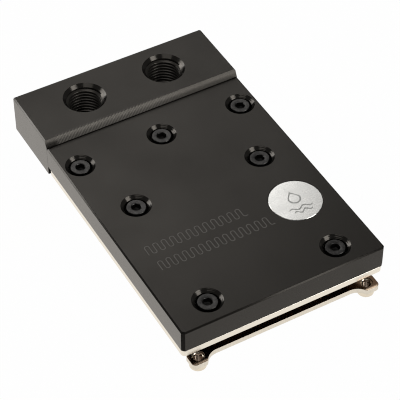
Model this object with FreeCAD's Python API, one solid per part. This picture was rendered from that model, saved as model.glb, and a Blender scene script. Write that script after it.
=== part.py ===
import FreeCAD, Part
import math
import os

from FreeCAD import Vector

# Liquid cooling cold plate with a two port terminal block. Millimetres.
# The origin is the centre of the cold face that touches the processor,
# +Z points up to the hose ports and +Y runs from the processor to the ports.

# Black acetal cover
body_width = 76.0
cover_length = 96.4
cover_thickness = 9.0
front_to_centre = 32.8      # front edge of the cover to the processor's centre
corner_chamfer = 1.0        # upright corners at the front of the cover
edge_chamfer = 0.5          # broken top edges
foot_chamfer = 0.25         # broken bottom edges

# Nickel plated base: contact pad, block and flange, from the cold face up
pad_side = 39.0
pad_height = 2.7
pad_radius = 3.0
block_side = 54.4
block_height = 3.0
block_radius = 3.0
flange_thickness = 2.7
flange_inset = 0.25         # flange outline inside the cover's outline
flange_radius = 1.5
flange_edge = 0.2           # broken edges of the flange
pad_edge = 0.3

# Terminal block behind the cover
terminal_length = 27.0
terminal_rise = 2.65        # above the cover's top
terminal_drop = 3.5         # below the cover's underside
slope_run = 1.35            # sloped front edge, measured along Y
terminal_chamfer = 0.5      # upright corners at the back of the terminal

# Hose ports, G1/4
port_spacing = 31.7
port_from_front = 14.4      # port centre behind the terminal's front face
port_thread_d = 13.157      # major diameter of the thread
port_mouth_d = 15.5         # where the 45 degree mouth meets the top
port_depth = 13.0
passage_width = 7.4
passage_height = 4.4

# Microchannel chamber inside the base, and the jet plate over it
chamber_length = 42.0       # along X, with a plenum at each end
chamber_width = 33.0
chamber_radius = 2.0
chamber_floor = 3.2         # copper left under the fins
fin_length = 36.0
fin_thickness = 0.4
fin_gap = 0.4
jet_plate_thickness = 0.6
jet_slot_width = 2.0
jet_slot_length = 28.0
jet_plate_clearance = 0.1

# Milled passages in the underside of the cover
channel_depth = 6.0
channel_width = 6.0         # the two channels that run back to the ports
channel_wall = 0.8          # left between a channel and a screw's counterbore
channel_end = 6.0           # solid acetal between a channel's end and the rear face
milled_length = 42.6        # outline that all the passages over the fins stay in
milled_radius = 5.0
return_width = 4.0          # cross passages in front of and behind the fins
inlet_width = 8.0
inlet_front = 14.0
divider = 2.4               # wall between the inlet and the return

# Face seals, modelled at their squeezed height
seal_wall = 0.7             # between a passage and the seal groove
seal_groove_width = 1.5
seal_height = 1.3
seal_clearance = 0.1        # between a seal and each side of its groove
seal_bevel = 0.3            # stands for the round shoulders of a squeezed cord
seal_jog = 3.0              # half length of the step in the seal beside a screw
seal_bend = 4.0
port_seal_wall = 0.5
port_groove_width = 1.3
port_seal_height = 1.0

# M4 socket head screws
screw_d = 4.0
screw_head_d = 7.0
screw_head_height = 4.0
screw_socket = 3.0          # across flats
screw_socket_depth = 2.0
screw_bevel = 0.4
clearance_hole_d = 4.3
thread_clearance = 0.05     # radial, between a screw and its tapped hole
tapped_hole_extra = 0.6     # tapped depth past a screw's tip
counterbore_d = 10.5
head_recess = 0.65          # screw head below the cover's top
chamber_screw_x = 24.0
chamber_screw_y = 24.15
chamber_screw_length = 8.0
rear_screw_x = 31.6
rear_screw_y = 50.5
rear_screw_length = 6.0
terminal_screw_length = 25.0
terminal_screw_engaged = 7.0
terminal_counterbore_d = 8.0

# Mounting plate, its standoffs and its screws
plate_thickness = 2.0
mount_pitch = 64.0
ear_margin = 3.4            # hole centre to the outer edges of an ear
ear_inner = 1.8             # hole centre to the inner end of an ear's edge
ear_run_out = 2.0           # slanted side of an ear, along the plate's edge
plate_half = 32.5           # centre to the straight edges between the ears
ear_radius = 1.6
ear_inner_radius = 1.0
ear_neck_radius = 5.0
window_clearance = 0.4
standoff_d = 5.8
standoff_drop = 2.5         # below the plate
standoff_neck_d = 4.2
standoff_neck_recess = 0.4  # neck below the plate's top
standoff_thread_d = 3.0
standoff_bevel = 0.3
neck_clearance = 0.05
plate_screw_x = 24.0
plate_screw_y = 12.0
plate_screw_d = 2.5
plate_screw_length = 6.0
plate_screw_head_d = 4.7
plate_screw_socket = 1.5
plate_screw_socket_depth = 0.9
plate_hole_clearance = 0.1
plate_head_recess = 0.1

# Badge let into the cover
badge_from_side = 14.4      # badge centre to the cover's right side
badge_y = 0.0
badge_d = 18.5
badge_thickness = 0.8
badge_bevel = 0.15
badge_clearance = 0.1

# Levels and places that follow from the sizes above
plate_top = pad_height
plate_bottom = plate_top - plate_thickness
flange_bottom = pad_height + block_height
flange_top = flange_bottom + flange_thickness
cover_top = flange_top + cover_thickness
cover_middle = flange_top + cover_thickness / 2
terminal_bottom = flange_top - terminal_drop
terminal_top = cover_top + terminal_rise
cover_front = -front_to_centre
cover_rear = cover_front + cover_length
terminal_rear = cover_rear + terminal_length
port_x = port_spacing / 2
port_y = cover_rear + port_from_front
port_floor = terminal_top - port_depth
fin_top = flange_top - jet_plate_thickness
screw_seat = cover_top - head_recess - screw_head_height
channel_outer = chamber_screw_x - counterbore_d / 2 - channel_wall
channel_x = channel_outer - channel_width / 2
channel_rear = cover_rear - channel_end
badge_x = body_width / 2 - badge_from_side
plate_hole_half = mount_pitch / 2
terminal_screw_seat = cover_rear - terminal_screw_engaged + terminal_screw_length

chamber_screws = [(x, y) for y in (-chamber_screw_y, chamber_screw_y)
                  for x in (-chamber_screw_x, chamber_screw_x)]
rear_screws = [(x, rear_screw_y) for x in (-rear_screw_x, 0.0, rear_screw_x)]
cover_screws = [(x, y, chamber_screw_length) for x, y in chamber_screws]
cover_screws += [(x, y, rear_screw_length) for x, y in rear_screws]
terminal_screws = [-rear_screw_x, 0.0, rear_screw_x]
plate_screws = [(x, y) for y in (-plate_screw_y, plate_screw_y)
                for x in (-plate_screw_x, plate_screw_x)]
standoff_places = [(x, y) for y in (-plate_hole_half, plate_hole_half)
                   for x in (-plate_hole_half, plate_hole_half)]


def rounded_wire(corners, place):
    """Closed wire through (u, v, radius) corners, put in space by place(u, v)."""
    pieces = []
    count = len(corners)
    for i in range(count):
        u, v, radius = corners[i]
        corner = Vector(u, v, 0)
        back = (Vector(*corners[i - 1][:2], 0) - corner).normalize()
        ahead = (Vector(*corners[(i + 1) % count][:2], 0) - corner).normalize()
        if radius == 0:
            pieces.append((corner, corner, corner))
            continue
        half_angle = back.getAngle(ahead) / 2
        reach = radius / math.tan(half_angle)
        inward = (back + ahead).normalize()
        middle = corner + inward * (radius / math.sin(half_angle) - radius)
        pieces.append((corner + back * reach, middle, corner + ahead * reach))
    edges = []
    for i, (start, middle, end) in enumerate(pieces):
        if (end - start).Length > 1e-6:
            arc = Part.Arc(place(start.x, start.y), place(middle.x, middle.y), place(end.x, end.y))
            edges.append(arc.toShape())
        following = pieces[(i + 1) % count][0]
        if (following - end).Length > 1e-6:
            edges.append(Part.makeLine(place(end.x, end.y), place(following.x, following.y)))
    return Part.Wire(edges)


def prism(corners, z_low, z_high):
    """Upright prism on an outline of (x, y, radius) corners."""
    wire = rounded_wire(corners, lambda u, v: Vector(u, v, z_low))
    return Part.Face(wire).extrude(Vector(0, 0, z_high - z_low))


def bar(corners, y_low, y_high):
    """Prism along Y on an outline of (x, z, radius) corners."""
    wire = rounded_wire(corners, lambda u, v: Vector(u, y_low, v))
    return Part.Face(wire).extrude(Vector(0, y_high - y_low, 0))


def rectangle(x_low, x_high, y_low, y_high, radius=0.0):
    return [(x_low, y_low, radius), (x_high, y_low, radius),
            (x_high, y_high, radius), (x_low, y_high, radius)]


def square(side, radius):
    return rectangle(-side / 2, side / 2, -side / 2, side / 2, radius)


def upright_cylinder(x, y, diameter, z_low, z_high):
    return Part.makeCylinder(diameter / 2, z_high - z_low, Vector(x, y, z_low))


def turned(profile):
    """Solid turned about Z from (radius, z) points."""
    points = [Vector(radius, 0, z) for radius, z in profile]
    face = Part.Face(Part.makePolygon(points + points[:1]))
    return face.revolve(Vector(0, 0, 0), Vector(0, 0, 1), 360)


def hexagon(across_flats, z_low, z_high):
    radius = across_flats / math.sqrt(3)
    corners = [(radius * math.cos(math.radians(60 * i)),
                radius * math.sin(math.radians(60 * i)), 0.0) for i in range(6)]
    return prism(corners, z_low, z_high)


def edges_at(shape, level, axis="Z"):
    """Straight and round edges that lie at one level along an axis."""
    found = []
    for edge in shape.Edges:
        low = getattr(edge.BoundBox, axis + "Min")
        high = getattr(edge.BoundBox, axis + "Max")
        if abs(low - level) < 1e-4 and abs(high - level) < 1e-4:
            found.append(edge)
    return found


def ring(middle, width, rise):
    """Solid ring of one width along a closed flat wire, extruded by the vector rise."""
    outer = Part.Face(middle.makeOffset2D(width / 2))
    inner = Part.Face(middle.makeOffset2D(-width / 2))
    return outer.cut(inner).extrude(rise)


# Outlines that more than one piece shares

def seal_corners():
    """Centre line of the main seal: round the chamber and both channels."""
    offset = seal_wall + seal_groove_width / 2
    side = chamber_length / 2 + offset
    front = -milled_length / 2 - offset
    outer = channel_outer + offset
    inner = channel_outer - channel_width - offset
    rear = channel_rear + offset
    end_bend = (outer - inner) / 2
    jog_start = milled_length / 2 - seal_jog
    jog_end = milled_length / 2 + seal_jog
    right = [(side, front, milled_radius + offset), (side, jog_start, seal_bend),
             (outer, jog_end, seal_bend), (outer, rear, end_bend), (inner, rear, end_bend),
             (inner, milled_length / 2 + offset, seal_bend)]
    left = [(-x, y, radius) for x, y, radius in reversed(right)]
    return right + left


def main_seal_ring(width):
    wire = rounded_wire(seal_corners(), lambda u, v: Vector(u, v, flange_top))
    return ring(wire, width, Vector(0, 0, seal_height))


def passage_corners(x, growth):
    """Rounded opening between cover and terminal, grown outwards for its seal."""
    half_width = passage_width / 2 + growth
    half_height = passage_height / 2 + growth
    return rectangle(x - half_width, x + half_width,
                     cover_middle - half_height, cover_middle + half_height, half_height)


def port_seal_ring(x, width):
    growth = port_seal_wall + port_groove_width / 2
    wire = rounded_wire(passage_corners(x, growth), lambda u, v: Vector(u, cover_rear, v))
    return ring(wire, width, Vector(0, port_seal_height, 0))


def plate_corners():
    """Mounting plate with an ear at each corner."""
    far = plate_hole_half + ear_margin
    inner = plate_hole_half - ear_inner
    neck = inner - ear_run_out
    quarter = [(neck, plate_half, ear_neck_radius), (inner, far, ear_inner_radius),
               (far, far, ear_radius), (far, inner, ear_inner_radius),
               (plate_half, neck, ear_neck_radius)]
    corners = list(quarter)
    corners += [(x, -y, radius) for x, y, radius in reversed(quarter)]
    corners += [(-x, -y, radius) for x, y, radius in quarter]
    corners += [(-x, y, radius) for x, y, radius in reversed(quarter)]
    return corners


# Pieces

def make_base_plate():
    half_width = body_width / 2 - flange_inset
    flange = prism(rectangle(-half_width, half_width, cover_front + flange_inset,
                             cover_rear - flange_inset, flange_radius),
                   flange_bottom, flange_top)
    flange = flange.makeChamfer(flange_edge, edges_at(flange, flange_bottom) + edges_at(flange, flange_top))
    block = prism(square(block_side, block_radius), pad_height, flange_bottom)
    pad = prism(square(pad_side, pad_radius), 0, pad_height)
    pad = pad.makeChamfer(pad_edge, edges_at(pad, 0))
    base = flange.fuse([block, pad])
    base = base.cut([make_chamber()])
    holes = [upright_cylinder(x, y, screw_d + 2 * thread_clearance,
                              screw_seat - length - tapped_hole_extra, flange_top)
             for x, y, length in cover_screws]
    holes += [upright_cylinder(x, y, plate_screw_d + 2 * thread_clearance,
                               plate_top, plate_bottom + plate_screw_length + tapped_hole_extra)
              for x, y in plate_screws]
    return base.cut(holes)


def make_chamber():
    """Water space in the base: the chamber less its fins, open at the top for the jet plate."""
    space = prism(rectangle(-chamber_length / 2, chamber_length / 2, -chamber_width / 2,
                            chamber_width / 2, chamber_radius), chamber_floor, flange_top)
    pitch = fin_thickness + fin_gap
    count = int((chamber_width - fin_gap) / pitch)
    first = -((count - 1) * pitch + fin_thickness) / 2
    fins = []
    for i in range(count):
        y = first + i * pitch
        fins.append(prism(rectangle(-fin_length / 2, fin_length / 2, y, y + fin_thickness),
                          chamber_floor, fin_top))
    return space.cut(fins)


def make_jet_plate():
    half_width = chamber_width / 2 - jet_plate_clearance
    plate = prism(rectangle(-fin_length / 2, fin_length / 2, -half_width, half_width),
                  fin_top, flange_top)
    slot = prism(rectangle(-jet_slot_width / 2, jet_slot_width / 2, -jet_slot_length / 2,
                           jet_slot_length / 2, jet_slot_width / 2), fin_top, flange_top)
    return plate.cut([slot])


def make_channels():
    """Passages milled into the cover's underside: inlet on the left, return on the right."""
    low = flange_top
    high = flange_top + channel_depth
    side = chamber_length / 2
    end = milled_length / 2
    outline = prism(rectangle(-side, side, -end, end, milled_radius), low, high)
    cross_y = end - return_width
    inlet_edge = -fin_length / 2

    def run(x_low, x_high, y_low, y_high):
        return prism(rectangle(x_low, x_high, y_low, y_high), low, high)

    def channel_back(x):
        half = channel_width / 2
        return prism(rectangle(x - half, x + half, cross_y, channel_rear, half), low, high)

    centre = run(-inlet_width / 2, inlet_width / 2, -inlet_front, end)
    inlet = centre.fuse([run(-channel_outer, 0, cross_y, end), channel_back(-channel_x)])
    returns = run(-side, inlet_edge, -end, cross_y - divider)
    returns = returns.fuse([run(-side, side, -end, return_width - end),
                            run(fin_length / 2, side, -end, end),
                            run(channel_outer - channel_width, side, cross_y, end)])
    returns = returns.common(outline).fuse([channel_back(channel_x)])
    return [inlet, returns]


def make_passage(x, y_low, y_high):
    return bar(passage_corners(x, 0), y_low, y_high)


def make_top_cover():
    half = body_width / 2
    cut = corner_chamfer
    outline = [(-half, cover_rear, 0), (-half, cover_front + cut, 0),
               (-half + cut, cover_front, 0), (half - cut, cover_front, 0),
               (half, cover_front + cut, 0), (half, cover_rear, 0)]
    cover = prism(outline, flange_top, cover_top)
    cover = cover.makeChamfer(edge_chamfer, edges_at(cover, cover_top))
    outer_foot = [edge for edge in edges_at(cover, flange_top)
                  if edge.BoundBox.YMin < cover_rear - foot_chamfer]
    cover = cover.makeChamfer(foot_chamfer, outer_foot)
    tools = make_channels()
    tools += [make_passage(x, channel_rear - channel_width / 2, cover_rear)
              for x in (-port_x, port_x)]
    tools += [upright_cylinder(x, y, clearance_hole_d, flange_top, cover_top)
              for x, y, length in cover_screws]
    tools += [upright_cylinder(x, y, counterbore_d, screw_seat, cover_top)
              for x, y, length in cover_screws]
    tools += [Part.makeCylinder(screw_d / 2 + thread_clearance,
                                terminal_screw_engaged + tapped_hole_extra,
                                Vector(x, cover_rear, cover_middle), Vector(0, -1, 0))
              for x in terminal_screws]
    tools.append(upright_cylinder(badge_x, badge_y, badge_d + 2 * badge_clearance,
                                  cover_top - badge_thickness, cover_top))
    tools.append(main_seal_ring(seal_groove_width))
    return cover.cut(tools)


def make_main_seal():
    seal = main_seal_ring(seal_groove_width - 2 * seal_clearance)
    shoulders = edges_at(seal, flange_top) + edges_at(seal, flange_top + seal_height)
    return seal.makeChamfer(seal_bevel, shoulders)


def make_port_seal(x):
    seal = port_seal_ring(x, port_groove_width - 2 * seal_clearance)
    shoulders = edges_at(seal, cover_rear, "Y")
    shoulders += edges_at(seal, cover_rear + port_seal_height, "Y")
    return seal.makeChamfer(seal_bevel, shoulders)


def make_port(x):
    """G1/4 port: 45 degree mouth, then the bore at the thread's major diameter."""
    mouth = (port_mouth_d - port_thread_d) / 2
    profile = [(0, port_floor), (port_thread_d / 2, port_floor),
               (port_thread_d / 2, terminal_top - mouth),
               (port_mouth_d / 2, terminal_top), (0, terminal_top)]
    return turned(profile).translate(Vector(x, port_y, 0))


def make_terminal_block():
    half = body_width / 2
    side = [(cover_rear, terminal_bottom), (terminal_rear, terminal_bottom),
            (terminal_rear, terminal_top), (cover_rear + slope_run, terminal_top),
            (cover_rear, cover_top)]
    points = [Vector(-half, y, z) for y, z in side]
    block = Part.Face(Part.makePolygon(points + points[:1])).extrude(Vector(body_width, 0, 0))
    upright = [edge for edge in block.Edges
               if edge.BoundBox.YMin > terminal_rear - 1e-4 and edge.BoundBox.XLength < 1e-4]
    block = block.makeChamfer(terminal_chamfer, upright)
    top = [edge for edge in edges_at(block, terminal_top)
           if edge.BoundBox.YMax > cover_rear + slope_run + 1e-4]
    block = block.makeChamfer(edge_chamfer, top)
    block = block.makeChamfer(foot_chamfer, edges_at(block, terminal_bottom))
    tools = [make_port(x) for x in (-port_x, port_x)]
    tools += [make_passage(x, cover_rear, port_y) for x in (-port_x, port_x)]
    tools += [port_seal_ring(x, port_groove_width) for x in (-port_x, port_x)]
    for x in terminal_screws:
        tools.append(Part.makeCylinder(clearance_hole_d / 2, terminal_length,
                                       Vector(x, cover_rear, cover_middle), Vector(0, 1, 0)))
        tools.append(Part.makeCylinder(terminal_counterbore_d / 2,
                                       terminal_rear - terminal_screw_seat,
                                       Vector(x, terminal_screw_seat, cover_middle),
                                       Vector(0, 1, 0)))
    return block.cut(tools)


def socket_screw(length):
    """M4 socket head screw pointing down, with the seat under its head at z = 0."""
    shank = screw_d / 2
    head = screw_head_d / 2
    top = screw_head_height
    profile = [(0, -length), (shank - screw_bevel, -length), (shank, screw_bevel - length),
               (shank, 0), (head, 0), (head, top - screw_bevel), (head - screw_bevel, top),
               (0, top)]
    screw = turned(profile)
    floor = top - screw_socket_depth
    corner = screw_socket / math.sqrt(3)
    bevel = turned([(0, top - corner), (corner, top), (0, top)])
    lead_in = bevel.translate(Vector(0, 0, screw_bevel / 4))
    return screw.cut([hexagon(screw_socket, floor, top), lead_in])


def make_cover_screw(x, y, length):
    return socket_screw(length).translate(Vector(x, y, screw_seat))


def make_terminal_screw(x):
    screw = socket_screw(terminal_screw_length)
    screw.rotate(Vector(0, 0, 0), Vector(1, 0, 0), -90)
    return screw.translate(Vector(x, terminal_screw_seat, cover_middle))


def make_mounting_plate():
    plate = prism(plate_corners(), plate_bottom, plate_top)
    window = prism(square(pad_side + 2 * window_clearance, pad_radius), plate_bottom, plate_top)
    tools = [window]
    tools += [upright_cylinder(x, y, standoff_neck_d + 2 * neck_clearance, plate_bottom, plate_top)
              for x, y in standoff_places]
    for x, y in plate_screws:
        hole = plate_screw_d / 2 + plate_hole_clearance
        mouth = plate_screw_head_d / 2 + plate_hole_clearance
        sink = turned([(0, plate_bottom), (mouth, plate_bottom),
                       (mouth, plate_bottom + plate_head_recess),
                       (hole, plate_bottom + plate_head_recess + mouth - hole),
                       (hole, plate_top), (0, plate_top)])
        tools.append(sink.translate(Vector(x, y, 0)))
    return plate.cut(tools)


def make_standoff(x, y):
    """Threaded standoff, its neck pressed up into the plate and its body below it."""
    low = plate_bottom - standoff_drop
    high = plate_top - standoff_neck_recess
    bore = standoff_thread_d / 2
    body = standoff_d / 2
    neck = standoff_neck_d / 2
    profile = [(bore, low), (body - standoff_bevel, low), (body, low + standoff_bevel),
               (body, plate_bottom), (neck, plate_bottom), (neck, high),
               (bore + standoff_bevel, high), (bore, high - standoff_bevel)]
    return turned(profile).translate(Vector(x, y, 0))


def make_plate_screw(x, y):
    """Countersunk screw that holds the mounting plate up against the base."""
    shank = plate_screw_d / 2
    head = plate_screw_head_d / 2
    face = plate_bottom + plate_head_recess
    tip = face + plate_screw_length
    profile = [(0, face), (head, face), (shank, face + head - shank), (shank, tip), (0, tip)]
    screw = turned(profile)
    socket = hexagon(plate_screw_socket, face, face + plate_screw_socket_depth)
    return screw.cut([socket]).translate(Vector(x, y, 0))


def make_badge_disc():
    radius = badge_d / 2
    low = cover_top - badge_thickness
    profile = [(0, low), (radius, low), (radius, cover_top - badge_bevel),
               (radius - badge_bevel, cover_top), (0, cover_top)]
    return turned(profile).translate(Vector(badge_x, badge_y, 0))


def make_pieces():
    pieces = {
        "base_plate": make_base_plate(),
        "jet_plate": make_jet_plate(),
        "top_cover": make_top_cover(),
        "terminal_block": make_terminal_block(),
        "main_seal": make_main_seal(),
        "port_seal_left": make_port_seal(-port_x),
        "port_seal_right": make_port_seal(port_x),
        "mounting_plate": make_mounting_plate(),
        "badge_disc": make_badge_disc(),
    }
    for number, (x, y, length) in enumerate(cover_screws, 1):
        pieces[f"cover_screw_{number}"] = make_cover_screw(x, y, length)
    for number, x in enumerate(terminal_screws, 1):
        pieces[f"terminal_screw_{number}"] = make_terminal_screw(x)
    for number, (x, y) in enumerate(standoff_places, 1):
        pieces[f"standoff_{number}"] = make_standoff(x, y)
    for number, (x, y) in enumerate(plate_screws, 1):
        pieces[f"plate_screw_{number}"] = make_plate_screw(x, y)
    return pieces


os.makedirs("parts", exist_ok=True)
for name, shape in make_pieces().items():
    shape.exportStep(f"parts/{name}.step")
    print(name, "valid" if shape.isValid() else "NOT VALID", len(shape.Solids), "solid",
          round(shape.Volume, 1), "mm3")
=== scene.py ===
import math
import random

import bpy
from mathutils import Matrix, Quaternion, Vector


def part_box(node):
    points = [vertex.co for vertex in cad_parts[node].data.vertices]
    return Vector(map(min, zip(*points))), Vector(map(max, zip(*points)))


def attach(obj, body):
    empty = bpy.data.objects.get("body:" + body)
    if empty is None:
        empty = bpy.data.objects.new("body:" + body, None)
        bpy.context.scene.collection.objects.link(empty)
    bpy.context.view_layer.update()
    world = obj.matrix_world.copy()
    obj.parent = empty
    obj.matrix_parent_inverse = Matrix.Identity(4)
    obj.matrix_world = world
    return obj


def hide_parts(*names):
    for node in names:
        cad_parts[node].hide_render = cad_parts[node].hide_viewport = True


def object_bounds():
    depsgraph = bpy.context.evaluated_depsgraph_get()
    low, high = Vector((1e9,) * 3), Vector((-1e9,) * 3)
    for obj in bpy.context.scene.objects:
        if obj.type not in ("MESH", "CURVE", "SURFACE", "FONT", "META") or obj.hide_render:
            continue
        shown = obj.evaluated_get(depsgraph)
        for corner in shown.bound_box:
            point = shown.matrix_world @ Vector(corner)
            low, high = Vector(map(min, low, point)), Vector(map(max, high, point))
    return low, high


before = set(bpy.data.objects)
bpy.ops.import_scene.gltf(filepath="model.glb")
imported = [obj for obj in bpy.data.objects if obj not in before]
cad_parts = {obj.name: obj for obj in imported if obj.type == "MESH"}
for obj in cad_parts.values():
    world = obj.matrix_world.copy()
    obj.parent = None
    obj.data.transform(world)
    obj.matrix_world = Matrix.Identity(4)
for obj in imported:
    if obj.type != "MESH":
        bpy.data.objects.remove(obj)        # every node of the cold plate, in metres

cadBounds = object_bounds()
random.seed(7)
mm = 0.001               # pieces are shaped in millimetres and settled in metres


# Small helpers

def selectOnly(*things):
    bpy.ops.object.select_all(action="DESELECT")
    for thing in things:
        thing.select_set(True)
    bpy.context.view_layer.objects.active = things[0]


def applyModifier(piece, kind, **settings):
    modifier = piece.modifiers.new(kind.lower(), kind)
    for name, value in settings.items():
        setattr(modifier, name, value)
    selectOnly(piece)
    bpy.ops.object.modifier_apply(modifier=modifier.name)


def pickVertices(piece, wanted):
    # in edit mode: selects the vertices whose place passes the test
    bpy.ops.mesh.select_mode(type="VERT")
    bpy.ops.mesh.select_all(action="DESELECT")
    bpy.ops.object.mode_set(mode="OBJECT")
    for vertex in piece.data.vertices:
        vertex.select = wanted(vertex.co)
    bpy.ops.object.mode_set(mode="EDIT")


def pickFaces(piece, wanted):
    # in edit mode: selects the faces whose centre and normal pass the test
    bpy.ops.mesh.select_mode(type="FACE")
    bpy.ops.mesh.select_all(action="DESELECT")
    bpy.ops.object.mode_set(mode="OBJECT")
    for face in piece.data.polygons:
        face.select = wanted(face.center, face.normal)
    bpy.ops.object.mode_set(mode="EDIT")


def copyPiece(piece, name):
    twin = piece.copy()
    twin.data = piece.data.copy()
    twin.name = name
    bpy.context.scene.collection.objects.link(twin)
    return twin


def settle(piece, place=(0, 0, 0)):
    # from millimetres to its place in metres, with the object at the origin
    piece.location = Vector(place)
    piece.scale = (mm, mm, mm)
    selectOnly(piece)
    bpy.ops.object.transform_apply(location=True, rotation=True, scale=True)


def shift(piece, by):
    piece.location = by
    selectOnly(piece)
    bpy.ops.object.transform_apply(location=True)


def paint(piece, *materials, choose=None):
    piece.data.materials.clear()
    for material in materials:
        piece.data.materials.append(material)
    for face in piece.data.polygons:
        face.material_index = choose(face.center, face.normal) if choose else 0


def declare(piece, slotName, *nodes):
    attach(piece, "root")
    if nodes:
        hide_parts(*nodes)


# Shared shader groups

def newGroup(name, inputs, outputs):
    group = bpy.data.node_groups.new(name, "ShaderNodeTree")
    for label, kind, value in inputs:
        socket = group.interface.new_socket(label, in_out="INPUT", socket_type=kind)
        if value is not None:
            socket.default_value = value
    for label in outputs:
        group.interface.new_socket(label, in_out="OUTPUT", socket_type="NodeSocketFloat")
    start = group.nodes.new("NodeGroupInput")
    end = group.nodes.new("NodeGroupOutput")
    start.location = (-900, 0)
    end.location = (700, 0)
    return group, start, end


def addNode(tree, kind, column, row, **settings):
    node = tree.nodes.new(kind)
    node.location = (column * 180, row * -180)
    for name, value in settings.items():
        setattr(node, name, value)
    return node


def math2(tree, operation, first, second, column, row):
    node = addNode(tree, "ShaderNodeMath", column, row, operation=operation)
    for socket, value in zip(node.inputs, (first, second)):
        if isinstance(value, (int, float)):
            socket.default_value = value
        elif value is not None:
            tree.links.new(value, socket)
    return node.outputs[0]


def makeToolMarks():
    # cutter or brush marks: even waves at the pitch, and streaks drawn out along the cut
    group, start, end = newGroup("toolMarks", [
        ("Distance", "NodeSocketFloat", 0.0), ("Along", "NodeSocketFloat", 0.0),
        ("Pitch", "NodeSocketFloat", 0.0003), ("Length", "NodeSocketFloat", 0.02)],
        ["Wave", "Streak"])
    steps = math2(group, "DIVIDE", start.outputs["Distance"], start.outputs["Pitch"], -3, 0)
    drift = math2(group, "DIVIDE", start.outputs["Along"], start.outputs["Length"], -3, 1)
    place = addNode(group, "ShaderNodeCombineXYZ", -2, 1)
    group.links.new(steps, place.inputs["X"])
    group.links.new(drift, place.inputs["Y"])
    streak = addNode(group, "ShaderNodeTexNoise", -1, 1, noise_dimensions="2D")
    streak.inputs["Scale"].default_value = 1.0
    streak.inputs["Detail"].default_value = 3.0
    streak.inputs["Roughness"].default_value = 0.65
    group.links.new(place.outputs[0], streak.inputs["Vector"])
    wander = math2(group, "MULTIPLY", streak.outputs["Fac"], 0.5, 0, 1)     # of one pitch, at most
    turn = math2(group, "ADD", steps, wander, 0, 0)
    angle = math2(group, "MULTIPLY", turn, 2 * math.pi, 1, 0)
    wave = math2(group, "SINE", angle, None, 2, 0)
    half = math2(group, "MULTIPLY", wave, 0.5, 3, 0)
    group.links.new(math2(group, "ADD", half, 0.5, 3, 1), end.inputs["Wave"])
    group.links.new(streak.outputs["Fac"], end.inputs["Streak"])
    return group


def makeGrain():
    # fine even grain over broad handling marks: Height is the grain alone, Value runs from Low to High
    fineShare = 0.35
    group, start, end = newGroup("surfaceGrain", [
        ("Vector", "NodeSocketVector", None), ("Grain", "NodeSocketFloat", 6000.0),
        ("Broad", "NodeSocketFloat", 60.0), ("Low", "NodeSocketFloat", 0.3),
        ("High", "NodeSocketFloat", 0.5)], ["Height", "Value"])
    fine = addNode(group, "ShaderNodeTexNoise", -2, 0)
    broad = addNode(group, "ShaderNodeTexNoise", -2, 2)
    for noise, label, detail in ((fine, "Grain", 2.0), (broad, "Broad", 4.0)):
        group.links.new(start.outputs["Vector"], noise.inputs["Vector"])
        group.links.new(start.outputs[label], noise.inputs["Scale"])
        noise.inputs["Detail"].default_value = detail
    share = math2(group, "MULTIPLY", fine.outputs["Fac"], fineShare, -1, 0)
    rest = math2(group, "MULTIPLY", broad.outputs["Fac"], 1 - fineShare, -1, 2)
    both = math2(group, "ADD", share, rest, 0, 1)
    spread = addNode(group, "ShaderNodeMapRange", 1, 1)
    spread.inputs["From Min"].default_value = 0.3
    spread.inputs["From Max"].default_value = 0.7
    group.links.new(both, spread.inputs["Value"])
    group.links.new(start.outputs["Low"], spread.inputs["To Min"])
    group.links.new(start.outputs["High"], spread.inputs["To Max"])
    group.links.new(fine.outputs["Fac"], end.inputs["Height"])
    group.links.new(spread.outputs[0], end.inputs["Value"])
    return group


toolMarks = makeToolMarks()
surfaceGrain = makeGrain()


# Materials: one function starts each, and each finish adds its own marks

def newMaterial(name, metallic=0.0):
    material = bpy.data.materials.new(name)
    material.use_nodes = True
    tree = material.node_tree
    shader = tree.nodes["Principled BSDF"]
    shader.inputs["Metallic"].default_value = metallic
    shader.inputs["IOR"].default_value = 1.5
    coordinates = addNode(tree, "ShaderNodeTexCoord", -9, 0)
    split = addNode(tree, "ShaderNodeSeparateXYZ", -8, 0)
    tree.links.new(coordinates.outputs["Object"], split.inputs[0])
    return material, tree, shader, coordinates.outputs["Object"], split.outputs


def addMarks(tree, distance, along, pitch, length, row=0):
    # pitch and length in millimetres
    marks = addNode(tree, "ShaderNodeGroup", -5, row, node_tree=toolMarks)
    marks.inputs["Pitch"].default_value = pitch * mm
    marks.inputs["Length"].default_value = length * mm
    tree.links.new(distance, marks.inputs["Distance"])
    tree.links.new(along, marks.inputs["Along"])
    return marks.outputs


def addGrain(tree, vector, fine, broad, rough):
    # fine and broad are noise scales, and rough the roughness between which they move it
    low, high = rough
    marks = addNode(tree, "ShaderNodeGroup", -5, 2, node_tree=surfaceGrain)
    for label, value in (("Grain", fine), ("Broad", broad), ("Low", low), ("High", high)):
        marks.inputs[label].default_value = value
    tree.links.new(vector, marks.inputs["Vector"])
    return marks.outputs


def blendColour(tree, factor, low, high, target):
    mix = addNode(tree, "ShaderNodeMix", -2, 0, data_type="RGBA")
    mix.inputs["A"].default_value = (*low, 1)
    mix.inputs["B"].default_value = (*high, 1)
    tree.links.new(factor, mix.inputs["Factor"])
    tree.links.new(mix.outputs["Result"], target)


def finishSurface(tree, shader, tone, dark, pale, grain, *relief):
    # relief: (height, depth in millimetres), laid one over another
    blendColour(tree, tone, dark, pale, shader.inputs["Base Color"])
    tree.links.new(grain["Value"], shader.inputs["Roughness"])
    normal = None
    for i, (height, depth) in enumerate(relief):
        bump = addNode(tree, "ShaderNodeBump", -3 + i, 5)
        bump.inputs["Strength"].default_value = 1.0
        bump.inputs["Distance"].default_value = depth * mm
        tree.links.new(height, bump.inputs["Height"])
        if normal:
            tree.links.new(normal, bump.inputs["Normal"])
        normal = bump.outputs["Normal"]
    tree.links.new(normal, shader.inputs["Normal"])


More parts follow.
